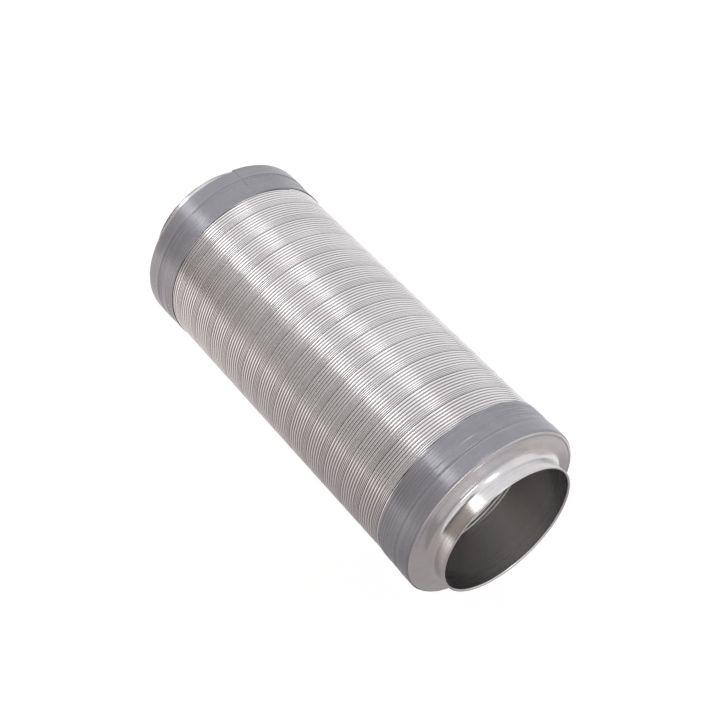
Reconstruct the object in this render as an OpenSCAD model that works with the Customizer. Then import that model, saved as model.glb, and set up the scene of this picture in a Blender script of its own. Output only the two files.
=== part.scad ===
// Flexible air duct: a sound-lined length of round ducting that bends, stretches and closes up.
// The duct lies along X, with the near collar at +X, and the origin is at the middle of its axis.
// Outside in: a wound, ribbed aluminium hose, a mineral wool wrap, a fleece and a perforated
// liner.  A spun end cap with a collar closes each end and is held to the hose by a wrap of tape.
// The hose, wool, fleece and liner are each cut into six lengths, because six bodies carry them.

/* [Duct] */
// Length from collar mouth to collar mouth
duct_l = 500; // [430:5:800]
// Outside diameter over the crests of the hose
hose_d = 200; // [190:1:260]
// Outside diameter of the round pipe that a collar takes
pipe_d = 150; // [100:1:150]
// Play all round between the pipe and its collar
pipe_play = 0.5; // [0.2:0.1:0.7]

/* [End caps] */
// Length of a collar outside the rim of its cap
collar_l = 24; // [18:1:50]
// Thickness of the aluminium sheet
sheet_t = 0.8; // [0.5:0.1:1.2]
// Length of the skirt that covers the end of the hose
skirt_l = 17; // [10:1:22]
// Outside radius of the corner between skirt and face
rim_r = 2; // [1.5:0.1:3]
// Width of the flat land next to the rim
land_w = 3; // [1:0.5:5]
// Slope of the dished face
dish_a = 12; // [4:1:20]
// Radius of the fillet between face and collar
fillet_r = 8; // [4:0.5:9]
// How far the sleeve reaches inside the rim
sleeve_in = 35; // [30:1:60]
// Thickness of the rolled lip on the sleeve
lip_t = 1.4; // [1:0.1:2]

/* [Hose] */
// Width that one turn of the wound strip covers
strip_w = 28.4; // [24:0.1:34]
// Ribs rolled into the strip
ribs = 6; // [4:1:7]
// Distance from rib to rib
rib_pitch = 3.46; // [3:0.02:3.8]
// Height of a rib
rib_h = 1.2; // [0.6:0.1:1.6]
// Wall under the ribs
wall_t = 0.7; // [0.5:0.1:1]
// Flat sides of the wound wall
sides = 16; // [12:2:24]

/* [Lining] */
// Wall of the perforated liner
liner_t = 1.2; // [0.8:0.1:2]
// Thickness of the fleece round the liner
fleece_t = 0.5; // [0.3:0.1:1]
// Width of the foil tape that seals the liner to the sleeve
seal_w = 25; // [15:1:27]
// Thickness of the foil tape
seal_t = 0.25; // [0.2:0.05:0.4]

/* [Outer tape] */
// Width of the tape over cap and hose
tape_w = 44.5; // [36:0.5:60]
// Thickness of the tape
tape_t = 0.3; // [0.2:0.05:0.5]
// Angle that the tape overlaps itself by
tape_lap = 26; // [10:1:40]
// Where the lap of the near tape starts, round from the top towards -Y
near_lap_at = 120; // [0:1:359]
// Where the lap of the far tape starts
far_lap_at = 326; // [0:1:359]

/* [Joints] */
// Bare hose that stays straight beside each tape
end_free = 35; // [20:1:50]
// Gap between two lengths, so that neighbouring bodies stay clear
cut_gap = 0.2; // [0.1:0.1:0.5]

/* [Hidden] */
$fn = 96;

play = 0.1;        // between two sheets that lie on each other
soft_play = 0.3;   // round the wool
near_play = 0.05;  // between sleeve and collar
arc_steps = 8;     // flats in each rounded corner of a sheet

// Radii, from the air outwards
bore_r = pipe_d / 2 + pipe_play;
sleeve_r = bore_r + sheet_t;
collar_r = sleeve_r + near_play + sheet_t;
liner_in_r = sleeve_r + 2 * play;
liner_r = liner_in_r + liner_t;
seal_r = liner_r + play + seal_t;
fleece_in_r = seal_r + 2 * play;
fleece_r = fleece_in_r + fleece_t;
wool_in_r = fleece_r + play;
crest_r = hose_d / 2;
hose_in_r = crest_r - rib_h - wall_t;
wool_r = hose_in_r * cos(180 / sides) - soft_play;
skirt_in_r = crest_r + soft_play;
skirt_r = skirt_in_r + sheet_t;

// Places along the axis.  The rim is the face side of a cap's corner.
rim_x = duct_l / 2 - collar_l;
tape_edge = rim_r * 0.6;                       // metal left bare at the rim
tape_end = tape_edge + tape_w;                 // from the rim to the inner edge of the tape
hose_end = rim_r + soft_play;                  // from the rim to the end of hose and wool
liner_end = sheet_t + 2;                       // from the rim to the end of the liner
ramp_l = 2.5;                                  // run of the tape down from the skirt
first_cut = rim_x - tape_end - end_free;       // the end lengths stop here
mid_l = first_cut / 2;                         // the four lengths between are equal
cuts = [rim_x, first_cut, mid_l, 0, -mid_l, -first_cut, -rim_x];

// The wound strip in section: places along the turn, each with its drop below the crest
seam_slope = 0.7;
strip = concat(
  [for (r = [0 : ribs - 1]) each [[r * rib_pitch, rib_h], [(r + 0.5) * rib_pitch, 0]]],
  [[ribs * rib_pitch, rib_h], [ribs * rib_pitch + seam_slope, 0], [strip_w - seam_slope, 0]]
);
strip_loop = concat(strip, [[strip_w, rib_h]]);
rows = len(strip);

// Start and end of length i, counted from the near end, with its ends held back by near and far
function from_x(i, far) = cuts[i] + (i == 6 ? far : cut_gap / 2);
function to_x(i, near) = cuts[i - 1] - (i == 1 ? near : cut_gap / 2);

function arc(centre, r, a0, a1) =
  [for (k = [0 : arc_steps]) let (a = a0 + (a1 - a0) * k / arc_steps) centre + r * [cos(a), sin(a)]];

// Sheet outline in [radius, height over the rim]; lift moves it in by the sheet's thickness
function cap_line(lift) =
  let (
    land_r = skirt_r - rim_r - land_w,
    tangent_r = collar_r + fillet_r * (1 - sin(dish_a)),
    fillet_h = fillet_r * cos(dish_a) + tan(dish_a) * (land_r - tangent_r)
  )
  concat(
    [[skirt_r - lift, -skirt_l]],
    arc([skirt_r - rim_r, -rim_r], rim_r - lift, 0, 90),
    [[land_r - lift * tan(dish_a / 2), -lift]],
    arc([collar_r + fillet_r, fillet_h], fillet_r + lift, 270 - dish_a, 180),
    [[collar_r - lift, collar_l - lip_t - near_play]]
  );

function reversed(list) = [for (k = [len(list) - 1 : -1 : 0]) list[k]];

// Tape outline, lying on the skirt and stepping down to the hose
function tape_line(lift) = [
  [crest_r + play + lift, -tape_end],
  [crest_r + play + lift, -skirt_l - ramp_l],
  [skirt_r + play + lift, -skirt_l - play],
  [skirt_r + play + lift, -tape_edge]
];

// Round piece from an outline in [radius, place along X]
module turned(angle = 360) {
  rotate([90, 0, 90]) rotate_extrude(angle = angle) children();
}

module tube(x0, x1, r_in, r_out) {
  turned() translate([r_in, x0]) square([r_out - r_in, x1 - x0]);
}

// Point m rows along the helix in column k of the wound wall, held between the cut ends
function wall_point(x0, x1, m, k) =
  let (
    shift = strip_w * k / sides,
    along = floor(m / rows) * strip_w + strip[m - rows * floor(m / rows)][0] - shift,
    x = min(max(along, x0), x1),
    in_turn = x + shift - strip_w * floor((x + shift) / strip_w),
    r = crest_r - lookup(in_turn, strip_loop),
    a = 360 * k / sides
  )
  [x, -r * sin(a), r * cos(a)];

function ring(x, r) = [for (k = [0 : sides - 1]) let (a = 360 * k / sides) [x, -r * sin(a), r * cos(a)]];

// Left-hand wound tube with square ends.  Rows past an end fold onto it and leave no face.
module wound_tube(x0, x1) {
  first = floor(x0 / strip_w) * rows;
  last = ceil((x1 + strip_w) / strip_w) * rows;
  outer = [for (m = [first : last], k = [0 : sides - 1]) wall_point(x0, x1, m, k)];
  low = len(outer);
  high = low + sides;
  points = concat(outer, ring(x0, hose_in_r), ring(x1, hose_in_r));
  function at(m, k) = k < sides ? (m - first) * sides + k : (max(m - rows, first) - first) * sides;
  function next(k) = (k + 1) % sides;
  function whole(f) =
    norm(points[f[0]] - points[f[1]]) > 1e-6 &&
    norm(points[f[1]] - points[f[2]]) > 1e-6 &&
    norm(points[f[2]] - points[f[0]]) > 1e-6;
  wall = [for (m = [first : last - 1], k = [0 : sides - 1]) each [
    [at(m, k), at(m + 1, k), at(m + 1, k + 1)],
    [at(m, k), at(m + 1, k + 1), at(m, k + 1)]
  ]];
  rest = [for (k = [0 : sides - 1]) each [
    [low + k, low + next(k), high + next(k)],
    [low + k, high + next(k), high + k],
    [at(first, k), at(first, next(k)), low + next(k)],
    [at(first, k), low + next(k), low + k],
    [at(last, k), high + k, high + next(k)],
    [at(last, k), high + next(k), at(last, next(k))]
  ]];
  polyhedron(points, [for (f = concat(wall, rest)) if (whole(f)) f]);
}

module cap() {
  color("gainsboro") translate([rim_x, 0, 0])
    turned() polygon(concat(cap_line(0), reversed(cap_line(sheet_t))));
}

module sleeve() {
  color("silver") translate([rim_x, 0, 0]) turned() {
    translate([bore_r, -sleeve_in]) square([sheet_t, sleeve_in + collar_l]);
    translate([bore_r, collar_l - lip_t]) square([collar_r - bore_r, lip_t]);
    translate([collar_r, collar_l - lip_t / 2]) circle(d = lip_t);
  }
}

// The second layer of the lap runs on from lap_at, round from the top towards -Y
module tape(lap_at) {
  color("slategray") translate([rim_x, 0, 0]) {
    turned() polygon(concat(tape_line(0), reversed(tape_line(tape_t))));
    rotate([lap_at, 0, 0]) rotate([90, 0, 0])
      turned(tape_lap) polygon(concat(tape_line(tape_t / 2), reversed(tape_line(2 * tape_t))));
  }
}

module liner_seal() {
  color("lightgray")
    tube(rim_x - liner_end - seal_w, rim_x - liner_end, liner_r + play, seal_r);
}

module hose(i) {
  color("silver") wound_tube(from_x(i, hose_end), to_x(i, hose_end));
}

module wool(i) {
  color("khaki") tube(from_x(i, hose_end), to_x(i, hose_end), wool_in_r, wool_r);
}

module fleece(i) {
  color("white") tube(from_x(i, liner_end), to_x(i, liner_end), fleece_in_r, fleece_r);
}

module liner(i) {
  color("lightgray") tube(from_x(i, liner_end), to_x(i, liner_end), liner_in_r, liner_r);
}

module far_side() {
  mirror([1, 0, 0]) children();
}

cap();  // near_cap
sleeve();  // near_sleeve
tape(near_lap_at);  // near_tape
liner_seal();  // near_liner_seal
far_side() cap();  // far_cap
far_side() sleeve();  // far_sleeve
far_side() tape(far_lap_at);  // far_tape
far_side() liner_seal();  // far_liner_seal
hose(1);  // hose_1
hose(2);  // hose_2
hose(3);  // hose_3
hose(4);  // hose_4
hose(5);  // hose_5
hose(6);  // hose_6
wool(1);  // wool_1
wool(2);  // wool_2
wool(3);  // wool_3
wool(4);  // wool_4
wool(5);  // wool_5
wool(6);  // wool_6
fleece(1);  // fleece_1
fleece(2);  // fleece_2
fleece(3);  // fleece_3
fleece(4);  // fleece_4
fleece(5);  // fleece_5
fleece(6);  // fleece_6
liner(1);  // liner_1
liner(2);  // liner_2
liner(3);  // liner_3
liner(4);  // liner_4
liner(5);  // liner_5
liner(6);  // liner_6
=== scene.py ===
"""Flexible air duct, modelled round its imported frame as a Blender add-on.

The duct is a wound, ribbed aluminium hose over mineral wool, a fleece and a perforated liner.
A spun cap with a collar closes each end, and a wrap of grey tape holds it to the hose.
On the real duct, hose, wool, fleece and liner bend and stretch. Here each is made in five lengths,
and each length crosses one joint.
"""

import functools
import math

import bpy
import numpy as np
from mathutils import Matrix, Vector


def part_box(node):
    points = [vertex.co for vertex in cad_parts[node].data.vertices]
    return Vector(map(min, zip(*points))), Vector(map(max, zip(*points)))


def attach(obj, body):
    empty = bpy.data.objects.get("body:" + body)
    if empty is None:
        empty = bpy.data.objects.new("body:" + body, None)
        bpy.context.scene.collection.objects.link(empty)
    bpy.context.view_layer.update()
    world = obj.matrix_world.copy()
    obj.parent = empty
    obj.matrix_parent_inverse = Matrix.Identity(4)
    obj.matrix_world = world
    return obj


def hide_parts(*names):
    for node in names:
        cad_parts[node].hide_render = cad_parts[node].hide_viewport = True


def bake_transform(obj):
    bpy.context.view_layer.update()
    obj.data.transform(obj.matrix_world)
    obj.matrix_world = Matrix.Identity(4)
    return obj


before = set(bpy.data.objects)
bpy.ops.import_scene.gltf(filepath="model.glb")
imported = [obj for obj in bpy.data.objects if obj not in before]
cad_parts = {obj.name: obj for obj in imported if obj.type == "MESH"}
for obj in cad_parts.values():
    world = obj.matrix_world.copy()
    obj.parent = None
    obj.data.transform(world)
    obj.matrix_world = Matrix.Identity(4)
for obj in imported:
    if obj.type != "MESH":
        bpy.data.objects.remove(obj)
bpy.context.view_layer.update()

bl_info = {
    "name": "Flexible Air Duct",
    "version": (1, 0, 0),
    "blender": (4, 5, 0),
    "location": "3D View > Sidebar > Air Duct",
    "description": "Models a sound-lined flexible air duct round its packed frame",
    "category": "Object",
}

MM = 0.001
TURN = 2 * math.pi
MERGE = 0.004 * MM  # points closer than this become one
INWARDS, OUTWARDS = -1, 1  # side of its surface on which a wall gets its thickness
REST = "rest"  # attribute with each point's place before the duct bends

# Places along the duct, from the frame
MOUTH_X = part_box("near_sleeve")[1].x
SLEEVE_IN_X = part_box("near_sleeve")[0].x
SKIRT_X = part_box("near_cap")[0].x
COLLAR_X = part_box("near_cap")[1].x
TAPE_IN_X, TAPE_OUT_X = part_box("near_tape")[0].x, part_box("near_tape")[1].x
HOSE_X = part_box("hose_1")[1].x
LINER_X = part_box("liner_1")[1].x
SEAL_IN_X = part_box("near_liner_seal")[0].x
SKIRT_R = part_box("near_cap")[1].z
HOSE_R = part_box("hose_2")[1].z
TAPE_SHY = 1.2 * MM  # how far the near tape stops short of the rim's outer face
RIM_X = TAPE_OUT_X + TAPE_SHY

CUTS = [
    (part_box(f"hose_{i}")[0].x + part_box(f"hose_{i + 1}")[1].x) / 2 for i in range(1, 6)
]
HALF = (CUTS[0] - CUTS[1]) / 2
LENGTHS = [["1"], ["2"], ["3", "4"], ["5"], ["6"]]  # CAD lengths that each piece stands for


def linear(code):
    """Linear red, green and blue of an sRGB hex colour."""
    parts = [int(code[i : i + 2], 16) / 255 for i in (1, 3, 5)]
    return [p / 12.92 if p <= 0.04045 else ((p + 0.055) / 1.055) ** 2.4 for p in parts]


def length(name, description, default):
    """A size in metres."""
    return bpy.props.FloatProperty(
        name=name, description=description, default=default, min=0, unit="LENGTH", precision=5
    )


def count(name, description, default):
    """A whole number."""
    return bpy.props.IntProperty(name=name, description=description, default=default, min=1)


def angle(name, description, default):
    """An angle, its default in degrees."""
    return bpy.props.FloatProperty(
        name=name, description=description, default=math.radians(default), subtype="ANGLE"
    )


def share(name, description, default):
    """A number from 0 to 1."""
    return bpy.props.FloatProperty(
        name=name, description=description, default=default, min=0, max=1, subtype="FACTOR"
    )


def colour(name, description, code):
    """A colour, its default as sRGB hex."""
    return bpy.props.FloatVectorProperty(
        name=name, description=description, default=linear(code), size=3, subtype="COLOR"
    )


class HoseSettings(bpy.types.PropertyGroup):
    strip: length("Strip width", "Width that one turn of the wound strip covers", 28.4 * MM)
    ribs: count("Ribs", "Ribs rolled into the strip", 6)
    pitch: length("Rib pitch", "Distance from rib to rib", 3.46 * MM)
    height: length("Rib height", "Depth of the grooves between the ribs", 1.05 * MM)
    crest: share("Crest", "How much wider the crests are than the grooves", 0.5)
    start: length("Strip start", "Where the first rib of a turn crosses the top", 12.1 * MM)
    fold: length("Seam fold", "Width of the steep side of the lock seam", 0.4 * MM)
    flank: length("Seam flank", "Width of the soft side of the lock seam", 1.1 * MM)
    sink: length("Seam sink", "How far the lock seam lies below the crests", 0.15 * MM)
    seam_lines: count("Seam lines", "Shallow lines rolled into the lock seam", 3)
    seam_depth: length("Seam line depth", "Depth of the lines in the lock seam", 0.8 * MM)
    radius: length("Radius", "Radius over the crests", HOSE_R - 0.1 * MM)
    foil: length("Foil", "Thickness of the wall", 0.3 * MM)
    sway: length("Sway", "How far the ribs wander along the duct", 1.1 * MM)
    sway_run: length("Sway length", "Distance in which the ribs wander once", 45 * MM)
    sag: length("Sag", "How far the hose wanders up and down", 0.4 * MM)
    sag_run: length("Sag length", "Distance in which the hose wanders once", 60 * MM)
    parts: count("Rib parts", "Faces across one rib", 8)
    steps: count("Steps", "Faces round the duct", 144)
    tone: colour("Foil colour", "Mill-finish aluminium on the ribs", "#E9E7E9")
    # Painted shade: the grooves get this darker colour in place of their shade
    groove: colour("Groove colour", "The same foil, dusty in the grooves", "#908A89")
    rough: share("Roughness", "Roughness of the foil", 0.2)


class CapSettings(bpy.types.PropertyGroup):
    sheet: length("Sheet", "Thickness of the spun sheet", 0.8 * MM)
    rim: length("Rim radius", "Round between skirt and face", 3.6 * MM)
    land: length("Land", "Width of the flat land next to the rim", 1.6 * MM)
    step: length("Shoulder", "Height and width of the shoulder inside the land", 0.2 * MM)
    dish: angle("Dish", "Slope of the dished face", 12)
    fillet: length("Fillet", "Radius between face and collar", 8 * MM)
    collar: length("Collar radius", "Outside radius of the collar", 77.15 * MM)
    bore: length("Bore radius", "Inside radius of the sleeve", 75.5 * MM)
    edge: length("Edge", "Round on the cut edges of the sheet", 0.12 * MM)
    lip: length("Lip", "Radius of the lip rolled round the mouth", 0.7 * MM)
    curl: length("Curl", "Radius from the bore out to the lip", 1.6 * MM)
    steps: count("Steps", "Faces round a cap", 160)
    tone: colour("Sheet colour", "Spun aluminium sheet", "#DFDCDB")
    tint: colour("Sheet tint", "Cooler patches that spinning leaves", "#D2D1D6")
    rough: share("Roughness", "Roughness of the sheet", 0.2)
    bore_rough: share("Bore roughness", "Roughness of the drawn sleeve", 0.22)


class TapeSettings(bpy.types.PropertyGroup):
    thick: length("Thickness", "Thickness of the tape", 0.2 * MM)
    lap: angle("Lap", "Angle that the tape overlaps itself by", 26)
    near_at: angle("Near lap", "Where the near tape's lap starts, from the top towards -Y", 120)
    far_at: angle("Far lap", "Where the far tape's lap starts, from the top towards -Y", 326)
    lift: length("Lift", "How far the lap stands out from the turn below", 0.24 * MM)
    off: length("Face gap", "Gap between the folded edge and the cap's face", 0.22 * MM)
    drift: length("Drift", "How far the far tape runs off line in one turn", 1.5 * MM)
    parts: count("Parts", "Faces across the tape", 84)
    steps: count("Steps", "Faces round the tape", 240)
    tone: colour("Tape colour", "Grey film with aluminium pigment", "#9B9AA1")
    metal: share("Pigment", "Share of the light that the aluminium pigment returns", 0.29)
    rough: share("Roughness", "Roughness of the tape", 0.25)


class LiningSettings(bpy.types.PropertyGroup):
    liner_r: length("Liner radius", "Radius over the liner's ribs", 77.4 * MM)
    ribs: count("Liner ribs", "Ribs in one turn of the liner", 8)
    rib: length("Liner rib", "Height of the liner's ribs", 0.5 * MM)
    hole: length("Hole", "Radius of a hole in the liner", 1.2 * MM)
    steps: count("Steps", "Faces round the liner", 128)
    foil: length("Foil", "Thickness of the liner's wall", 0.22 * MM)
    fleece_r: length("Fleece radius", "Inside radius of the fleece", 78.28 * MM)
    fleece: length("Fleece", "Thickness of the fleece", 0.22 * MM)
    lap_at: angle("Fleece lap", "Where the fleece's lap starts, from the top towards -Y", 40)
    lap: angle("Fleece lap width", "Angle that the fleece overlaps itself by", 16)
    seal_r: length("Seal radius", "Inside radius of the foil seals", 77.86 * MM)
    seal: length("Seal", "Thickness of the foil seals", 0.08 * MM)
    crumple: length("Seal creases", "Height of the creases in the foil seals", 0.09 * MM)
    play: length("Wool gap", "Gap between the wool and the end caps", 1 * MM)
    tuft: length("Tufts", "Height of the tufts on the wool", 0.8 * MM)
    tuft_run: length("Tuft size", "Distance from tuft to tuft", 5 * MM)
    wool_steps: count("Wool steps", "Faces round the wool", 110)
    wool_in: length("Wool inside", "Inside radius of the wool", 79.4 * MM)
    wool_out: length("Wool outside", "Outside radius of the wool", 97.6 * MM)
    liner_tone: colour("Liner colour", "Perforated aluminium foil", "#E2E0DE")
    liner_rough: share("Liner roughness", "Roughness of the liner", 0.34)
    fleece_tone: colour("Fleece colour", "White glass fleece", "#E4E2DC")
    wool_tone: colour("Wool colour", "Mineral wool", "#C9B26A")
    seal_tone: colour("Seal colour", "Aluminium foil tape", "#DADADA")


class StageSettings(bpy.types.PropertyGroup):
    floor: length("Floor depth", "How far the floor lies below the duct's axis", 0.3)
    floor_tone: colour("Floor colour", "Matt pale floor", "#B6B6B6")
    glow: share("Floor glow", "Light added to the floor where camera or metal see it", 0.71)
    sky: share("Surrounding light", "Strength of the white surroundings", 0.62)
    room: share("Room", "Share of the surrounding light that comes from behind the near end", 0.5)


# Lamps: name, place, point that it faces, direction of its long side, sizes, power in watts
LAMPS = [
    ("strip_lamp", (-1.1, -0.78, 1.28), (-1.1, 0, 0), (1, 0, 0), (2.3, 0.34), 6.5),
    ("soft_lamp", (0.9, 0.22, 1.48), (0.9, 0, 0), (1, 0, 0), (1.2, 0.37), 2.8),
    ("end_lamp", (1.64, -0.3, 0.55), (0.24, -0.04, 0.08), (0, 0.88, 0.474), (0.5, 0.22), 1.0),
]
# Cards that the metal shows as bands: name, place, size along X and across, its lean from flat in
# degrees, the colours of the light that it sends at FADE_FROM and FADE_TO along X, which blend
# between them, and the strength of that light
CARDS = [
    ("side_card", (-0.6, -1.6, 0.9), (3.0, 2.0), 90, "#B6ACA5", "#77706D", 0.93),
    ("top_card", (0.3, -0.87, 1.4), (1.4, 0.42), 32, "#8E8885", "#8E8885", 1.0),
    ("floor_card", (4.9, -0.775, -0.295), (14.2, 2.25), 0, "#FFF8F2", "#938E8E", 1.48),
    ("end_card", (6.2, 4.2, -0.296), (11.7, 7.7), 0, "#D4D0CD", "#D4D0CD", 1.0),
]
FADE_FROM, FADE_TO = -0.8, 0.1
ROOM_SIDE = (-0.9, 0, 0.43)  # points away from the darker side of the room
FLOOR_R = 30
CAMERA_PLACE, CAMERA_AIM = (0.81066, -0.59508, 1.2027), (-0.5164, 0.3873, -0.7638)
LENS, SENSOR = 76.3, 36  # millimetres


# ---------------------------------------- modelling helpers


def activate(piece):
    """Select this piece alone."""
    bpy.ops.object.select_all(action="DESELECT")
    piece.select_set(True)
    bpy.context.view_layer.objects.active = piece


def points(piece):
    """The places of a piece's vertices, one row each."""
    co = np.empty(len(piece.data.vertices) * 3, np.float32)
    piece.data.vertices.foreach_get("co", co)
    return co.reshape(-1, 3).astype(float)


def select(piece, chosen):
    """Select these vertices, and the edges and faces between them, in object mode."""
    mesh = piece.data
    chosen = np.asarray(chosen, bool)
    mesh.vertices.foreach_set("select", chosen)
    ends = np.empty(len(mesh.edges) * 2, np.int32)
    mesh.edges.foreach_get("vertices", ends)
    mesh.edges.foreach_set("select", chosen[ends.reshape(-1, 2)].all(1))
    corners = np.empty(len(mesh.loops), np.int32)
    mesh.loops.foreach_get("vertex_index", corners)
    if len(mesh.polygons):
        starts = np.empty(len(mesh.polygons), np.int32)
        mesh.polygons.foreach_get("loop_start", starts)
        mesh.polygons.foreach_set("select", np.logical_and.reduceat(chosen[corners], starts))


def edit(piece, *steps, chosen=None):
    """Run edit mode operators, each a function without arguments, on the chosen vertices."""
    activate(piece)
    if chosen is not None:
        select(piece, chosen)
    bpy.ops.object.mode_set(mode="EDIT")
    bpy.ops.mesh.select_mode(type="VERT")
    if chosen is None:
        bpy.ops.mesh.select_all(action="SELECT")
    for step in steps:
        step()
    bpy.ops.object.mode_set(mode="OBJECT")


def merge():
    bpy.ops.mesh.remove_doubles(threshold=MERGE)


def outwards():
    bpy.ops.mesh.select_all(action="SELECT")
    bpy.ops.mesh.normals_make_consistent(inside=False)


def trace(name, line):
    """Draw a line of points (x, radius) above the axis, by extruding from one vertex."""
    bpy.ops.object.select_all(action="DESELECT")
    bpy.ops.mesh.primitive_plane_add(size=MM, location=(line[0][0], 0, line[0][1]))
    piece = bpy.context.object
    piece.name = piece.data.name = name
    bpy.ops.object.transform_apply(location=True, rotation=True, scale=True)

    def draw():
        bpy.ops.mesh.merge(type="CENTER")
        for (x0, r0), (x1, r1) in zip(line, line[1:]):
            bpy.ops.mesh.extrude_vertices_move(
                TRANSFORM_OT_translate={"value": (x1 - x0, 0, r1 - r0)}
            )

    edit(piece, draw)
    return piece


def apply(piece, kind, **settings):
    """Add a modifier with these settings and apply it."""
    activate(piece)
    modifier = piece.modifiers.new(kind.lower(), kind)
    for key, value in settings.items():
        setattr(modifier, key, value)
    bpy.ops.object.modifier_apply(modifier=modifier.name)


def wind(piece, turns, steps, run=0.0, whole=1):
    """Screw a line round the axis, from the top towards -Y, moving on by run in each turn."""
    apply(
        piece,
        "SCREW",
        axis="X",
        angle=TURN * turns,
        screw_offset=run,
        iterations=whole,
        steps=steps,
        render_steps=steps,
        use_smooth_shade=True,
    )


def lathe(name, line, steps):
    """Spin a line of points (x, radius) into a shell whose faces point outwards."""
    piece = trace(name, line)
    edit(
        piece,
        lambda: bpy.ops.mesh.spin(steps=steps, angle=TURN, center=(0, 0, 0), axis=(1, 0, 0)),
    )
    edit(piece, merge, outwards)
    return piece


def arc(x, r, radius, start, end, parts):
    """Points on an arc; 0 degrees is away from the axis and 90 towards +X."""
    turn = [math.radians(start + (end - start) * k / parts) for k in range(parts + 1)]
    return [(x + radius * math.sin(a), r + radius * math.cos(a)) for a in turn]


def dense(line, step):
    """The same line with more points, none further apart than step."""
    out = [line[0]]
    for (x0, r0), (x1, r1) in zip(line, line[1:]):
        parts = max(1, math.ceil(math.hypot(x1 - x0, r1 - r0) / step))
        shares = [k / parts for k in range(1, parts + 1)]
        out += [(x0 + (x1 - x0) * share, r0 + (r1 - r0) * share) for share in shares]
    return out


def wobble(piece, axis, strength, grain):
    """Push the points along an axis by soft noise, up to half of strength each way."""
    texture = bpy.data.textures.new("wobble", "CLOUDS")
    texture.noise_scale = grain
    texture.noise_depth = 1
    apply(
        piece,
        "DISPLACE",
        texture=texture,
        direction=axis,
        strength=strength,
        mid_level=0.5,
        texture_coords="LOCAL",
    )


def raise_by(piece, heights):
    """Push each point out along its normal by its own height."""
    top = float(heights.max())
    group = piece.vertex_groups.new(name="relief")
    for i, h in enumerate(heights / top):
        if h > 0:
            group.add([i], float(h), "REPLACE")
    apply(piece, "DISPLACE", strength=top, mid_level=0, vertex_group="relief")
    piece.vertex_groups.clear()


def cut(piece, x, keep_below):
    """Cut the piece square at x and keep one side."""
    edit(
        piece,
        lambda: bpy.ops.mesh.bisect(
            plane_co=(x, 0, 0),
            plane_no=(1, 0, 0),
            clear_outer=keep_below,
            clear_inner=not keep_below,
            threshold=MERGE / 4,
        ),
    )


def thicken(piece, thickness, side):
    """Give a surface a wall on one side of it."""
    apply(piece, "SOLIDIFY", thickness=thickness, offset=side, use_even_offset=False, use_rim=True)


def far_copy(piece, name):
    """The same piece for the far end, mirrored, with a mesh of its own."""
    activate(piece)
    bpy.ops.object.duplicate(linked=False)
    twin = bpy.context.object
    twin.name = twin.data.name = name
    edit(
        twin,
        lambda: bpy.ops.transform.resize(value=(-1, 1, 1), center_override=(0, 0, 0)),
        outwards,
    )
    return twin


def finish(piece, material, nodes, smooth=40):
    """Give a piece its shading, rest places and material, and hide the nodes that it stands for.

    Edges sharper than smooth, in degrees, stay sharp.
    """
    activate(piece)
    bpy.ops.object.shade_smooth_by_angle(angle=math.radians(smooth))
    rest = piece.data.attributes.new(REST, "FLOAT_VECTOR", "POINT")
    rest.data.foreach_set("vector", points(piece).astype(np.float32).ravel())
    piece.data.materials.clear()
    piece.data.materials.append(material)
    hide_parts(*nodes)


def finish_ends(near, far_name, node, material):
    """Finish a piece of the near end, and a mirrored copy of it for the far end."""
    far = far_copy(near, far_name)
    for piece, end in ((near, "near"), (far, "far")):
        finish(piece, material, [f"{end}_{node}"])
        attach(piece, f"{end}_end")


def lengths(end):
    """Number, upper x and lower x of the five lengths of a layer that ends at end."""
    edges = [end, CUTS[0] - HALF, CUTS[1] - HALF, CUTS[3] + HALF, CUTS[4] + HALF, -end]
    return [(k + 1, edges[k], edges[k + 1]) for k in range(5)]


def finish_length(piece, k, layer, material, smooth=40):
    """Finish length k of a layer, and bake its place into its mesh."""
    finish(piece, material, [f"{layer}_{c}" for c in LENGTHS[k - 1]], smooth)
    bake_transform(piece)


# ---------------------------------------- materials


def fill(tree, node, values):
    """Fill a node's inputs; a node or an output as a value is linked."""
    for key, value in values.items():
        socket = node.inputs[key]
        if isinstance(value, bpy.types.Node):
            value = next(output for output in value.outputs if output.enabled)
        if isinstance(value, bpy.types.NodeSocket):
            tree.links.new(value, socket)
        else:
            socket.default_value = (*value, 1)[:4] if socket.type == "RGBA" else value


def add(tree, kind, values=None, **settings):
    """Add a shader node, set its options, and fill or link its inputs."""
    node = tree.nodes.new("ShaderNode" + kind)
    for key, value in settings.items():
        setattr(node, key, value)
    fill(tree, node, values or {})
    return node


def shader(name, **values):
    """A material with a Principled shader whose sockets hold these values."""
    material = bpy.data.materials.new(name)
    material.use_nodes = True
    tree = material.node_tree
    principled = tree.nodes["Principled BSDF"]
    fill(tree, principled, {key.replace("_", " "): value for key, value in values.items()})
    return material, tree, principled


def shade(tone, factor):
    """The same colour, darker or lighter by a factor."""
    return [c * factor for c in tone]


def per(size):
    """Cells per metre of a pattern whose cells are this many millimetres apart."""
    return 1 / (size * MM)


CLOUDY = {"Detail": 3.0, "Roughness": 0.55}  # noise for patches, dents and drag lines


def rest_place(tree):
    """Where the shaded point lies before the duct bends: vector, x, distance from the axis."""
    place = add(tree, "Attribute", attribute_name=REST).outputs["Vector"]
    split = add(tree, "SeparateXYZ", {0: place})
    flat = add(tree, "CombineXYZ", {1: split.outputs["Y"], 2: split.outputs["Z"]})
    radius = add(tree, "VectorMath", {0: flat}, operation="LENGTH")
    return place, split.outputs["X"], radius


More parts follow.
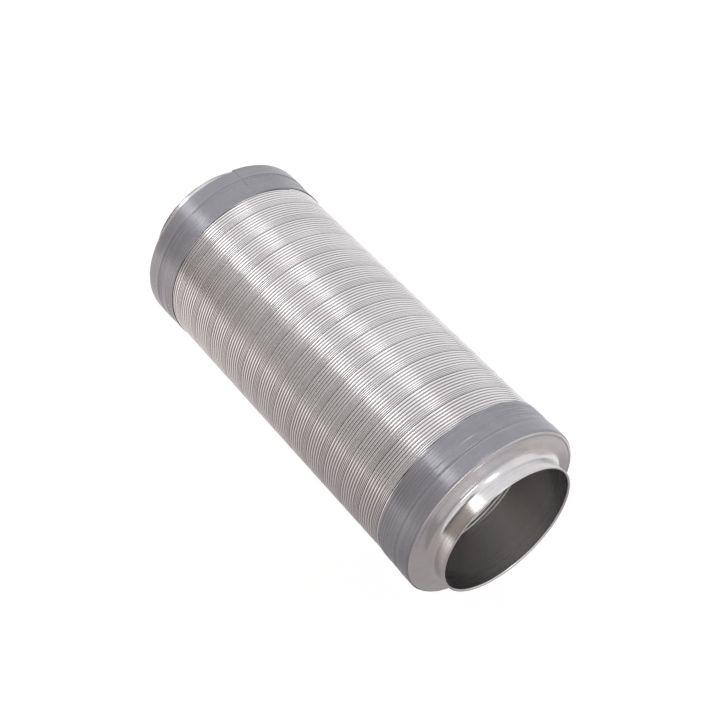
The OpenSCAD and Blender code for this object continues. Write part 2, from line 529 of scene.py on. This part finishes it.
def rolled_foil(name, tone, groove_shade, rough, radius, depth):
    """Mill-finish aluminium foil, cold rolled and then ribbed.

    Rolling leaves fine lines along the strip and a bright satin sheen, and handling leaves faint
    dents. The grooves are painted darker than the crests, as shade.
    """
    material, tree, principled = shader(name, Metallic=1.0)
    place, _, r = rest_place(tree)
    # Real rolling lines are under 0.1 mm apart; these are drawn 0.7 mm apart to show at all
    drawn = add(tree, "Mapping", {0: place, "Scale": (per(0.7), per(38), per(38))})
    lines = add(tree, "TexNoise", {0: drawn, "Scale": 1.0, "Detail": 2.0, "Roughness": 0.55})
    cloud = add(tree, "TexNoise", {0: place, "Scale": per(45), **CLOUDY})
    line = add(tree, "MapRange", {0: lines, 1: 0.3, 2: 0.7})
    # Painted shade: the deeper a point lies in a groove, the darker it is drawn, and crests stay
    # clean
    low, high = radius - 0.85 * depth, radius - 0.15 * depth
    groove = add(tree, "MapRange", {0: r, 1: low, 2: high, 3: 1.0, 4: 0.0})
    crest = add(tree, "Mix", {0: line, 6: tone, 7: shade(tone, 0.94)}, data_type="RGBA")
    base = add(tree, "Mix", {0: groove, 6: crest, 7: groove_shade}, data_type="RGBA")
    dull = add(tree, "MapRange", {0: cloud, 1: 0.3, 2: 0.7, 3: rough - 0.05, 4: rough + 0.07})
    matt = add(tree, "MapRange", {0: lines, 1: 0.2, 2: 0.8, 3: 0.0, 4: 0.06})
    level = add(tree, "Math", {0: dull, 1: matt}, operation="ADD")
    wide = add(tree, "Mapping", {0: place, "Scale": (per(11), per(22), per(22))})
    dents = add(tree, "TexNoise", {0: wide, "Scale": 1.0, **CLOUDY})
    soft = add(tree, "Bump", {"Height": dents, "Distance": 0.12 * MM, "Strength": 0.6})
    fine = add(
        tree, "Bump", {"Height": lines, "Distance": 0.004 * MM, "Strength": 0.5, "Normal": soft}
    )
    fill(tree, principled, {"Base Color": base, "Roughness": level, "Normal": fine})
    return material


def spun_sheet(name, settings, rough):
    """Spun aluminium sheet: a roller presses the turning blank over a former.

    That leaves fine rings round the axis, a soft sheen and cooler patches.
    """
    material, tree, principled = shader(name, Metallic=1.0)
    place, x, r = rest_place(tree)
    section = add(tree, "CombineXYZ", {0: x, 1: r})
    rings = add(tree, "TexNoise", {0: section, "Scale": per(0.8), "Detail": 2.0})
    wide = add(tree, "TexNoise", {0: section, "Scale": per(3.8), "Detail": 1.0})
    cloud = add(tree, "TexNoise", {0: place, "Scale": per(33), **CLOUDY})
    patch = add(tree, "MapRange", {0: cloud, 1: 0.38, 2: 0.62})
    base = add(tree, "Mix", {0: patch, 6: settings.tone, 7: settings.tint}, data_type="RGBA")
    ring = add(tree, "MapRange", {0: rings, 1: 0.3, 2: 0.7, 3: 0.0, 4: 0.5})
    tone = add(tree, "Mix", {0: ring, 6: base, 7: shade(settings.tone, 0.82)}, data_type="RGBA")
    level = add(tree, "MapRange", {0: rings, 1: 0.2, 2: 0.8, 3: rough - 0.04, 4: rough + 0.08})
    soft = add(tree, "Bump", {"Height": wide, "Distance": 0.08 * MM, "Strength": 0.4})
    dents = add(
        tree, "Bump", {"Height": cloud, "Distance": 0.6 * MM, "Strength": 0.4, "Normal": soft}
    )
    fine = add(
        tree, "Bump", {"Height": rings, "Distance": 0.02 * MM, "Strength": 0.5, "Normal": dents}
    )
    fill(tree, principled, {"Base Color": tone, "Roughness": level, "Normal": fine})
    return material


def pvc_tape(name, settings):
    """Grey soft PVC tape with aluminium pigment, calendered and wound by hand.

    The pigment gives the film a dull metal sheen; stretching leaves it cloudy, with fine lines
    along the tape, and its skin has a small grain.
    """
    material, tree, principled = shader(
        name, IOR=1.53, Specular_IOR_Level=0.3, Metallic=settings.metal
    )
    place, x, _ = rest_place(tree)
    # The skin's real grain is about 0.1 mm and is drawn at 0.7 mm to show
    grain = add(tree, "TexNoise", {0: place, "Scale": per(0.7), "Detail": 2.0, "Roughness": 0.55})
    drawn = add(tree, "Mapping", {0: place, "Scale": (per(2.4), per(50), per(50))})
    drag = add(tree, "TexNoise", {0: drawn, "Scale": 1.0, **CLOUDY})
    cloud = add(tree, "TexNoise", {0: place, "Scale": per(36), **CLOUDY})
    dark, pale = shade(settings.tone, 0.9), shade(settings.tone, 1.08)
    patch = add(tree, "MapRange", {0: cloud, 1: 0.3, 2: 0.7})
    tone = add(tree, "Mix", {0: patch, 6: dark, 7: pale}, data_type="RGBA")
    drawn_out = add(tree, "MapRange", {0: drag, 1: 0.45, 2: 0.8, 3: 0.0, 4: 0.4})
    tone = add(
        tree, "Mix", {0: drawn_out, 6: tone, 7: shade(settings.tone, 1.3)}, data_type="RGBA"
    )
    # A highlight is painted as a lighter band on the skirt's edge, and a darker band lies beside
    # it,
    # where the tape steps down to the hose: each band's two sides in millimetres from the edge,
    # and how light it is
    bands = ((1.2, 0.2, 1.4), (-0.1, -1.6, 0.72))
    side = add(tree, "Math", {0: x}, operation="ABSOLUTE")
    for start, end, level in bands:
        high, middle, low = (SKIRT_X + d * MM for d in (start, (start + end) / 2, end))
        rise = add(tree, "MapRange", {0: side, 1: high, 2: middle})
        fall = add(tree, "MapRange", {0: side, 1: low, 2: middle})
        line = add(tree, "Math", {0: rise, 1: fall}, operation="MINIMUM")
        edge = shade(settings.tone, level)
        tone = add(tree, "Mix", {0: line, 6: tone, 7: edge}, data_type="RGBA")
    low, high = settings.rough - 0.06, settings.rough + 0.08
    rough = add(tree, "MapRange", {0: cloud, 1: 0.25, 2: 0.75, 3: low, 4: high})
    soft = add(tree, "Bump", {"Height": drag, "Distance": 0.16 * MM, "Strength": 0.6})
    fine = add(
        tree, "Bump", {"Height": grain, "Distance": 0.03 * MM, "Strength": 0.6, "Normal": soft}
    )
    fill(tree, principled, {"Base Color": tone, "Roughness": rough, "Normal": fine})
    return material


def foil_tape(name, tone):
    """Aluminium foil tape, rubbed down by hand: very bright, with small sharp creases."""
    material, tree, principled = shader(name, Metallic=1.0, Roughness=0.2)
    place = rest_place(tree)[0]
    crease = add(tree, "TexVoronoi", {0: place, "Scale": per(6.2)}, feature="DISTANCE_TO_EDGE")
    smear = add(tree, "TexNoise", {0: place, "Scale": per(17), **CLOUDY})
    patch = add(tree, "MapRange", {0: smear, 1: 0.3, 2: 0.7})
    base = add(tree, "Mix", {0: patch, 6: tone, 7: shade(tone, 0.82)}, data_type="RGBA")
    ridge = add(tree, "MapRange", {0: crease, 1: 0.0, 2: 0.08})
    folds = add(tree, "Bump", {"Height": ridge, "Distance": 0.1 * MM, "Strength": 0.5})
    fill(tree, principled, {"Base Color": base, "Normal": folds})
    return material


def glass_fleece(name, tone):
    """White glass fleece, laid wet and bonded: flat, matte, with short fibres at all angles."""
    material, tree, principled = shader(name, Roughness=0.9, Sheen_Weight=0.15)
    place = rest_place(tree)[0]
    # Real fibres are 0.02 mm thick; their tangle is drawn at 1.1 mm to show
    fibres = add(tree, "TexNoise", {0: place, "Scale": per(1.1), "Detail": 5.0, "Roughness": 0.7})
    cloud = add(tree, "TexNoise", {0: place, "Scale": per(8.3), **CLOUDY})
    patch = add(tree, "MapRange", {0: cloud, 1: 0.3, 2: 0.7})
    base = add(tree, "Mix", {0: patch, 6: tone, 7: shade(tone, 0.9)}, data_type="RGBA")
    # Painted shade: the gaps between the fibres are drawn darker
    gap = add(tree, "MapRange", {0: fibres, 1: 0.35, 2: 0.6, 3: 0.5, 4: 0.0})
    tangle = add(tree, "Mix", {0: gap, 6: base, 7: shade(tone, 0.7)}, data_type="RGBA")
    fuzz = add(tree, "Bump", {"Height": fibres, "Distance": 0.15 * MM, "Strength": 0.8})
    fill(tree, principled, {"Base Color": tangle, "Normal": fuzz})
    return material


def mineral_wool(name, tone):
    """Mineral wool, spun from melt and bonded into a mat: matte, yellow-brown and tangled."""
    material, tree, principled = shader(name, Roughness=1.0, Sheen_Weight=0.3)
    place = rest_place(tree)[0]
    laid = add(tree, "Mapping", {0: place, "Scale": (per(3.8), per(1.5), per(1.5))})
    fibres = add(tree, "TexNoise", {0: laid, "Scale": 1.0, "Detail": 8.0, "Roughness": 0.75})
    tufts = add(tree, "TexNoise", {0: place, "Scale": per(14), "Detail": 4.0, "Roughness": 0.55})
    patch = add(tree, "MapRange", {0: tufts, 1: 0.3, 2: 0.7})
    base = add(tree, "Mix", {0: patch, 6: shade(tone, 0.75), 7: tone}, data_type="RGBA")
    # Painted shade: the gaps between the fibres are drawn darker
    gap = add(tree, "MapRange", {0: fibres, 1: 0.35, 2: 0.6, 3: 0.7, 4: 0.0})
    tangle = add(tree, "Mix", {0: gap, 6: base, 7: shade(tone, 0.5)}, data_type="RGBA")
    fuzz = add(tree, "Bump", {"Height": fibres, "Distance": 0.8 * MM, "Strength": 1.0})
    fill(tree, principled, {"Base Color": tangle, "Normal": fuzz})
    return material


# ---------------------------------------- operators


def strip_line(s):
    """Section of the wound strip from edge to edge: (place across, drop below the crest)."""

    def wave(turns):
        """How deep a groove is, from 1 at its bottom, at whole turns, to 0 on a crest."""
        return (0.5 + 0.5 * math.cos(TURN * turns)) ** (1 + 2 * s.crest)

    line = [
        (s.pitch * k / s.parts, s.height * wave(k / s.parts)) for k in range(s.ribs * s.parts + 1)
    ]
    # The lock seam: the strip's edges are hooked together and rolled flat, with shallow lines
    seam = s.ribs * s.pitch
    pitch = (s.strip - seam - s.fold - s.flank) / s.seam_lines
    # Two points on each side of the seam: (share of the side's width, drop)
    side = [(k / 3, s.sink + (s.height - s.sink) * wave(k / 6)) for k in (1, 2)]
    line += [(seam + s.flank * x, drop) for x, drop in side]
    for k in range(4 * s.seam_lines + 1):
        drop = s.sink + s.seam_depth * wave(k / 4 + 0.5)
        line.append((seam + s.flank + pitch * k / 4, drop))
    line += [(s.strip - s.fold * x, drop) for x, drop in side[::-1]]
    return line + [(s.strip, s.height)]


class AIRDUCT_OT_hose(bpy.types.Operator):
    """Wind the ribbed aluminium hose in five lengths"""

    bl_idname = "air_duct.hose"
    bl_label = "Hose"

    def execute(self, context):
        s = context.scene.air_duct_hose
        material = rolled_foil(
            "mill_finish_foil", s.tone, s.groove, s.rough, s.radius, s.height
        )
        section = strip_line(s)
        for k, high, low in lengths(HOSE_X):
            first = math.ceil((high - s.start) / s.strip) * s.strip + s.start
            turns = math.ceil((first - low) / s.strip) + 1
            piece = trace(f"hose_skin_{k}", [(first + x, s.radius - drop) for x, drop in section])
            wind(piece, 1, s.steps, -s.strip, turns)
            edit(piece, merge, outwards)
            wobble(piece, "X", s.sway, s.sway_run)
            wobble(piece, "Z", s.sag, s.sag_run)
            cut(piece, high, True)
            cut(piece, low, False)
            thicken(piece, s.foil, INWARDS)
            finish_length(piece, k, "hose", material, 75)
        return {"FINISHED"}


def cap_line(s):
    """Section of a cap from the skirt's edge over rim, face and fillet to the collar's end."""
    land_r = SKIRT_R - s.rim - s.land
    tangent_r = s.collar + s.fillet * (1 - math.sin(s.dish))
    # The land ends at a small shoulder, and the dished face starts on top of it
    shoulder = [(0, 0), (0.3, 1), (1, 2), (1.3, 3.5)]  # steps out and in towards the axis
    shoulder = [(RIM_X + out * s.step, land_r - down * s.step) for out, down in shoulder]
    foot_x, foot_r = shoulder[-1]
    fillet_x = foot_x + s.fillet * math.cos(s.dish) + math.tan(s.dish) * (foot_r - tangent_r)
    line = [(SKIRT_X, SKIRT_R)]
    line += arc(RIM_X - s.rim, SKIRT_R - s.rim, s.rim, 0, 90, 10)
    line += shoulder
    line += arc(fillet_x, s.collar + s.fillet, s.fillet, 270 - math.degrees(s.dish), 180, 20)
    return line + [(COLLAR_X, s.collar)]


class AIRDUCT_OT_caps(bpy.types.Operator):
    """Spin the two end caps with their collars"""

    bl_idname = "air_duct.caps"
    bl_label = "End caps"

    def execute(self, context):
        s = context.scene.air_duct_caps
        near = lathe("spun_cap_near", dense(cap_line(s), 1.6 * MM), s.steps)
        thicken(near, s.sheet, INWARDS)
        corner = math.radians(50)
        apply(near, "BEVEL", width=s.edge, segments=2, limit_method="ANGLE", angle_limit=corner)
        material = spun_sheet("spun_aluminium_sheet", s, s.rough)
        finish_ends(near, "spun_cap_far", "cap", material)
        return {"FINISHED"}


def sleeve_line(s):
    """Section of a sleeve from its inner end along the bore, round the lip and back."""
    line = [(SLEEVE_IN_X, s.bore + s.sheet), (SLEEVE_IN_X, s.bore)]
    line += arc(MOUTH_X - s.curl, s.bore + s.curl, s.curl, 180, 90, 8)
    line += arc(MOUTH_X - s.lip, s.collar, s.lip, 90, -90, 10)
    return line + [(MOUTH_X - 2 * s.lip, s.bore + s.sheet), (SLEEVE_IN_X, s.bore + s.sheet)]


class AIRDUCT_OT_sleeves(bpy.types.Operator):
    """Spin the two sleeves with their rolled lips"""

    bl_idname = "air_duct.sleeves"
    bl_label = "Sleeves"

    def execute(self, context):
        s = context.scene.air_duct_caps
        near = lathe("lipped_sleeve_near", dense(sleeve_line(s), 2 * MM), s.steps)
        material = spun_sheet("rolled_sleeve_sheet", s, s.bore_rough)
        finish_ends(near, "lipped_sleeve_far", "sleeve", material)
        return {"FINISHED"}


# Creases in a wrapped tape: the strong ones' distance in from the rim and height
STRONG_CREASES = [(28 * MM, 0.34 * MM), (34 * MM, 0.28 * MM), (19.5 * MM, 0.3 * MM)]
WEAK_CREASES = 40


def tape_line(s, rim, wrapped, drift):
    """Section of the tape from its outer edge, as (distance in from the rim, radius).

    The outer edge is pulled over the corner of the rim: a wrapped one reaches the face, the
    other stops on the corner.
    """
    step = RIM_X - SKIRT_X + drift
    low, high = HOSE_R + 0.2 * MM, SKIRT_R + 0.02 * MM  # inside of the tape on hose and skirt
    gap, flap, slope = 0.1 * MM, 1 * MM, 1.6 * MM
    first, last = rim, RIM_X - TAPE_IN_X
    edge = 90 if wrapped else math.degrees(math.asin(1 - (RIM_X - TAPE_OUT_X) / rim))
    over = arc(0, high - rim, rim + gap * wrapped, edge, 0, 12)[:-1]
    line = [(rim - x, r) for x, r in over]
    if wrapped:
        line = [(-gap, high - rim - flap), *line]
    for k in range(s.parts + 1):
        inwards = first + (last - first) * k / s.parts
        drop = np.clip((inwards - step - gap) / slope, 0, 1)
        line.append((inwards, high + (low - high) * drop * drop * (3 - 2 * drop)))
    return line


def relief(inwards, x, turn, hose, seed):
    """Height of creases, rib marks and slack in a wrapped tape, in metres."""
    draw = np.random.default_rng(seed)
    step = RIM_X - SKIRT_X
    on_hose = np.clip((inwards - step - 2.2 * MM) / (2 * MM), 0, 1)
    # Pulled tight over the skirt, the tape lies close there and looser past its edge
    close, looser = 0.14 * MM, 0.8 * MM
    room = close + looser * np.clip((inwards - step) / (2.5 * MM), 0, 1)
    # The hose's ribs show through, in some places more than in others
    across = (x + hose.strip * turn / TURN - hose.start) % hose.strip
    rib = np.where(across < hose.ribs * hose.pitch, np.cos(TURN * across / hose.pitch), -1.0)
    patch = 0.65 + 0.35 * np.sin(2.3 * turn + 4) * np.sin(0.9 * turn + inwards / MM / 7)
    least, mark, slack = 0.02 * MM, 0.5 * MM, 0.25 * MM
    height = least + mark * (0.5 - 0.5 * rib) * on_hose * patch
    # Slack where the tape comes down from the skirt to the hose
    height += slack * on_hose * np.exp(-((inwards - step - 4 * MM) / (2.2 * MM)) ** 2)
    # Long creases round the duct, at angles that chance sets: strong ones first, then weak ones
    creases = STRONG_CREASES * 2
    for _ in range(WEAK_CREASES):
        creases.append((draw.uniform(3, 44) * MM, draw.uniform(0.05, 0.2) * MM))
    for at, tall in creases:
        start, span = draw.uniform(0, TURN), draw.uniform(0.5, 2.6)
        width, lean = draw.uniform(0.45, 1.0) * MM, draw.uniform(-1.2, 1.2) * MM
        along = (turn - start) % TURN / span
        inside = np.where(along < 1, np.sin(np.pi * np.clip(along, 0, 1)), 0) ** 0.6
        height += tall * inside * np.exp(-(((inwards - at - lean * along) / width) ** 2))
    return np.minimum(height, room)


class AIRDUCT_OT_tapes(bpy.types.Operator):
    """Wrap the grey tape over cap and hose at both ends"""

    bl_idname = "air_duct.tapes"
    bl_label = "Tapes"

    def execute(self, context):
        scene = context.scene
        s, hose = scene.air_duct_tape, scene.air_duct_hose
        material = pvc_tape("grey_pvc_tape", s)
        for end, side, at, seed in (("near", 1, s.near_at, 5), ("far", -1, s.far_at, 11)):
            drift = s.drift if side < 0 else 0
            section = tape_line(s, scene.air_duct_caps.rim, side < 0, drift)
            line = [(side * (RIM_X - inwards), r) for inwards, r in section]
            piece = trace(f"tape_wrap_{end}", line)
            over = 1 + s.lap / TURN
            wind(piece, over, round(s.steps * over), side * drift)
            turn = TURN * (np.arange(len(piece.data.vertices)) // len(line)) / s.steps
            # The tape climbs onto its own first turn just before the lap begins
            before, climb = math.radians(8), math.radians(7)
            lift = s.lift * np.clip((turn - TURN + before) / climb, 0, 1)
            place = points(piece)[:, 0]
            if side < 0:  # the folded edge is pressed flat on the cap's face
                face = RIM_X + s.off
                press = functools.partial(
                    bpy.ops.transform.resize, value=(0, 1, 1), center_override=(-face, 0, 0)
                )
                edit(piece, press, chosen=place < -face)
            edit(piece, outwards)
            raise_by(piece, relief(RIM_X - side * place, place, turn + at, hose, seed) + lift)
            wobble(piece, "X", 0.5 * MM, 40 * MM)
            thicken(piece, s.thick, OUTWARDS)
            spin = functools.partial(
                bpy.ops.transform.rotate, value=-at, orient_axis="X", center_override=(0, 0, 0)
            )
            edit(piece, spin, outwards)
            finish(piece, material, [f"{end}_tape"], 60)
            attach(piece, f"{end}_end")
        return {"FINISHED"}


class AIRDUCT_OT_lining(bpy.types.Operator):
    """Wind the perforated liner in five lengths"""

    bl_idname = "air_duct.lining"
    bl_label = "Liner"

    def execute(self, context):
        s, hose = context.scene.air_duct_lining, context.scene.air_duct_hose
        # Painted shade: the liner's grooves are drawn in this darker tone
        shade_painted = shade(s.liner_tone, 0.8)
        material = rolled_foil(
            "perforated_foil", s.liner_tone, shade_painted, s.liner_rough, s.liner_r, s.rib
        )
        pitch = hose.strip / s.ribs
        shape = ((0, 1), (0.17, 0.16), (0.5, 0), (0.83, 0.16))  # shares of pitch and rib height
        section = [((k + x) * pitch, y * s.rib) for k in range(s.ribs) for x, y in shape]
        section.append((hose.strip, s.rib))
        plain = 2 * MM  # no holes this close to an end
        for k, high, low in lengths(LINER_X):
            first = math.ceil(high / hose.strip) * hose.strip
            turns = math.ceil((first - low) / hose.strip) + 1
            line = [(first + x, s.liner_r - drop) for x, drop in section]
            piece = trace(f"liner_skin_{k}", line)
            wind(piece, 1, s.steps, -hose.strip, turns)
            edit(piece, merge, outwards)
            place = points(piece)
            turn = np.arctan2(-place[:, 1], place[:, 2]) / TURN * s.steps
            rib = (place[:, 0] + hose.strip * turn / s.steps) / pitch - 0.5
            # Holes stand on the crests, and those of neighbouring ribs alternate
            on_crest = np.abs(rib - np.round(rib)) < 0.02
            inside = (place[:, 0] < high - plain) & (place[:, 0] > low + plain)
            odd = (np.round(turn) + np.round(rib)) % 2 == 0
            edit(
                piece,
                lambda: bpy.ops.mesh.bevel(offset=s.hole, segments=2, affect="VERTICES"),
                lambda: bpy.ops.mesh.delete(type="FACE"),
                chosen=on_crest & inside & odd,
            )
            cut(piece, high, True)
            cut(piece, low, False)
            edit(piece, outwards)
            thicken(piece, s.foil, INWARDS)
            finish_length(piece, k, "liner", material, 60)
        return {"FINISHED"}


class AIRDUCT_OT_seals(bpy.types.Operator):
    """Wrap the foil tape that seals each end of the liner"""

    bl_idname = "air_duct.seals"
    bl_label = "Liner seals"

    def execute(self, context):
        s = context.scene.air_duct_lining
        material = foil_tape("rubbed_foil_tape", s.seal_tone)
        for end, side in (("near", 1), ("far", -1)):
            ends = [(side * SEAL_IN_X, s.seal_r), (side * LINER_X, s.seal_r)]
            line = dense(ends, 1.5 * MM)
            piece = trace(f"foil_seal_{end}", line)
            wind(piece, 1, s.steps)
            edit(piece, merge, outwards)
            draw = np.random.default_rng(3)
            raise_by(piece, s.crumple * draw.uniform(0.6, 1, len(piece.data.vertices)))
            thicken(piece, s.seal, OUTWARDS)
            finish(piece, material, [f"{end}_liner_seal"])
            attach(piece, f"{end}_end")
        return {"FINISHED"}


class AIRDUCT_OT_fleece(bpy.types.Operator):
    """Wrap the fleece round the liner in five lengths"""

    bl_idname = "air_duct.fleece"
    bl_label = "Fleece"

    def execute(self, context):
        s = context.scene.air_duct_lining
        material = glass_fleece("bonded_glass_fleece", s.fleece_tone)
        for k, high, low in lengths(LINER_X):
            line = dense([(low, s.fleece_r), (high, s.fleece_r)], 3 * MM)
            piece = trace(f"fleece_wrap_{k}", line)
            wind(piece, 1, s.steps)
            edit(piece, merge, outwards)
            place = points(piece)
            turn = np.arctan2(-place[:, 1], place[:, 2])
            edge = s.lap_at + math.radians(3) * np.sin(place[:, 0] / (40 * MM))
            lap = np.clip((turn - edge) / math.radians(2), 0, 1) * (turn < edge + s.lap)
            raise_by(piece, 0.02 * MM + s.fleece * lap)
            thicken(piece, s.fleece, OUTWARDS)
            finish_length(piece, k, "fleece", material)
        return {"FINISHED"}


class AIRDUCT_OT_wool(bpy.types.Operator):
    """Pack the mineral wool between fleece and hose in five lengths"""

    bl_idname = "air_duct.wool"
    bl_label = "Wool"

    def execute(self, context):
        s = context.scene.air_duct_lining
        material = mineral_wool("bonded_mineral_wool", s.wool_tone)
        spare = 6 * MM
        for k, high, low in lengths(HOSE_X):
            # Inner ends start too long, so that the cuts leave them flat
            top = high - s.play if k == 1 else high + spare
            foot = low + s.play if k == 5 else low - spare
            corners = [(foot, s.wool_in), (foot, s.wool_out), (top, s.wool_out), (top, s.wool_in)]
            line = dense([*corners, corners[0]], 4 * MM)
            piece = lathe(f"wool_mat_{k}", line, s.wool_steps)
            wobble(piece, "NORMAL", s.tuft, s.tuft_run)
            for x, keep_below in ((high, True), (low, False)):
                if foot < x < top:
                    cut(piece, x, keep_below)
                    on_cut = np.abs(points(piece)[:, 0] - x) < MERGE
                    edit(piece, bpy.ops.mesh.bridge_edge_loops, chosen=on_cut)
            edit(piece, outwards)
            finish_length(piece, k, "wool", material)
        return {"FINISHED"}


def aim(thing, direction, along):
    """Turn a lamp or camera to look along a direction, with its local X along the other one."""
    back = -Vector(direction).normalized()
    side = (Vector(along) - Vector(along).dot(back) * back).normalized()
    thing.rotation_euler = Matrix((side, back.cross(side), back)).transposed().to_euler()


def add_floor(s):
    """Pale floor, lifted to full white where camera or metal see it, with soft shadows kept."""
    bpy.ops.object.select_all(action="DESELECT")
    bpy.ops.mesh.primitive_circle_add(
        vertices=64, radius=FLOOR_R, fill_type="NGON", location=(0, 0, -s.floor)
    )
    floor = bpy.context.object
    floor.name = "studio_floor"
    material, tree, principled = shader(
        "matt_white_floor", Base_Color=s.floor_tone, Roughness=0.9, Emission_Color=(1, 1, 1)
    )
    path = add(tree, "LightPath").outputs
    rays = {0: path["Is Camera Ray"], 1: path["Is Glossy Ray"]}
    seen = add(tree, "Math", rays, operation="MAXIMUM")
    glow = add(tree, "MapRange", {0: seen, 4: s.glow})
    fill(tree, principled, {"Emission Strength": glow})
    floor.data.materials.append(material)


def add_card(name, at, size, lean, far, near, strength):
    """A glowing sheet, unseen by the camera, whose light stands in for part of the room."""
    bpy.ops.mesh.primitive_plane_add(size=1, location=at, rotation=(math.radians(lean), 0, 0))
    card = bpy.context.object
    card.name = name
    card.scale = (*size, 1)
    bpy.ops.object.transform_apply(location=True, rotation=True, scale=True)
    material, tree, principled = shader(
        f"{name}_glowing_sheet", Base_Color=(0, 0, 0), Roughness=1.0, Emission_Strength=strength
    )
    place = add(tree, "SeparateXYZ", {0: add(tree, "TexCoord").outputs["Object"]})
    along = add(tree, "MapRange", {0: place, 1: FADE_FROM, 2: FADE_TO})
    light = add(tree, "Mix", {0: along, 6: linear(far), 7: linear(near)}, data_type="RGBA")
    fill(tree, principled, {"Emission Color": light})
    card.data.materials.append(material)
    card.visible_camera = card.visible_shadow = False
    card.visible_diffuse = lean > 0  # cards on the floor are seen by the metal alone


def light_room(scene, s):
    """White surroundings; metal sees them darker low down beyond the near end."""
    world = bpy.data.worlds.new("studio")
    scene.world = world
    world.use_nodes = True
    tree = world.node_tree
    background = tree.nodes["Background"]
    fill(tree, background, {"Color": (1, 1, 1)})
    path = add(tree, "LightPath")
    back = add(tree, "NewGeometry").outputs["Incoming"]
    ahead = add(tree, "VectorMath", {0: back, 1: ROOM_SIDE}, operation="DOT_PRODUCT")
    room = add(tree, "MapRange", {0: ahead, 1: 0.5, 2: 0.9, 3: 1.0, 4: s.room})
    level = add(tree, "MapRange", {0: path.outputs["Is Camera Ray"], 3: s.sky, 4: 1.0})
    glossy = path.outputs["Is Glossy Ray"]
    level = add(tree, "Mix", {0: glossy, 2: level, 3: room}, data_type="FLOAT")
    fill(tree, background, {"Strength": level})


def add_lamp(name, place, target, along, size, watts):
    """A long area lamp that the camera doesn't see."""
    bpy.ops.object.light_add(type="AREA", location=place)
    lamp = bpy.context.object
    lamp.name = name
    lamp.data.shape = "RECTANGLE"
    lamp.data.size, lamp.data.size_y = size
    lamp.data.energy = watts
    lamp.visible_camera = False
    aim(lamp, Vector(target) - Vector(place), along)


def add_camera(scene):
    bpy.ops.object.camera_add(location=CAMERA_PLACE)
    camera = bpy.context.object
    camera.data.lens, camera.data.sensor_width = LENS, SENSOR
    aim(camera, CAMERA_AIM, Vector(CAMERA_AIM).cross((0, 0, 1)))
    scene.camera = camera


class AIRDUCT_OT_stage(bpy.types.Operator):
    """Set up the floor, the cards, the surroundings, the lamps and the camera"""

    bl_idname = "air_duct.stage"
    bl_label = "Stage"

    def execute(self, context):
        scene = context.scene
        scene.view_settings.view_transform = "Standard"
        add_floor(scene.air_duct_stage)
        for card in CARDS:
            add_card(*card)
        light_room(scene, scene.air_duct_stage)
        for lamp in LAMPS:
            add_lamp(*lamp)
        add_camera(scene)
        return {"FINISHED"}


class AIRDUCT_PT_panel(bpy.types.Panel):
    bl_idname = "AIRDUCT_PT_panel"
    bl_label = "Air Duct"
    bl_space_type = "VIEW_3D"
    bl_region_type = "UI"
    bl_category = "Air Duct"

    def draw(self, context):
        for name, (kind, operators) in GROUPS.items():
            box = self.layout.box()
            settings = getattr(context.scene, name)
            for key in kind.__annotations__:
                box.prop(settings, key)
            for operator in operators:
                box.operator(operator.bl_idname)


# Each group of settings: its name in the scene, its class and the operators that read it
GROUPS = {
    "air_duct_hose": (HoseSettings, [AIRDUCT_OT_hose]),
    "air_duct_caps": (CapSettings, [AIRDUCT_OT_caps, AIRDUCT_OT_sleeves]),
    "air_duct_tape": (TapeSettings, [AIRDUCT_OT_tapes]),
    "air_duct_lining": (
        LiningSettings,
        [AIRDUCT_OT_lining, AIRDUCT_OT_seals, AIRDUCT_OT_fleece, AIRDUCT_OT_wool],
    ),
    "air_duct_stage": (StageSettings, [AIRDUCT_OT_stage]),
}
CLASSES = [cls for kind, operators in GROUPS.values() for cls in (kind, *operators)]
CLASSES.append(AIRDUCT_PT_panel)


def register():
    for cls in CLASSES:
        bpy.utils.register_class(cls)
    for name, (kind, _) in GROUPS.items():
        setattr(bpy.types.Scene, name, bpy.props.PointerProperty(type=kind))


def unregister():
    for name in GROUPS:
        delattr(bpy.types.Scene, name)
    for cls in reversed(CLASSES):
        bpy.utils.unregister_class(cls)


def main():
    register()
    bpy.ops.air_duct.stage()
    bpy.ops.air_duct.hose()
    bpy.ops.air_duct.caps()
    bpy.ops.air_duct.sleeves()
    bpy.ops.air_duct.tapes()
    bpy.ops.air_duct.lining()
    bpy.ops.air_duct.seals()
    bpy.ops.air_duct.fleece()
    bpy.ops.air_duct.wool()


if __name__ == "__main__":
    main()
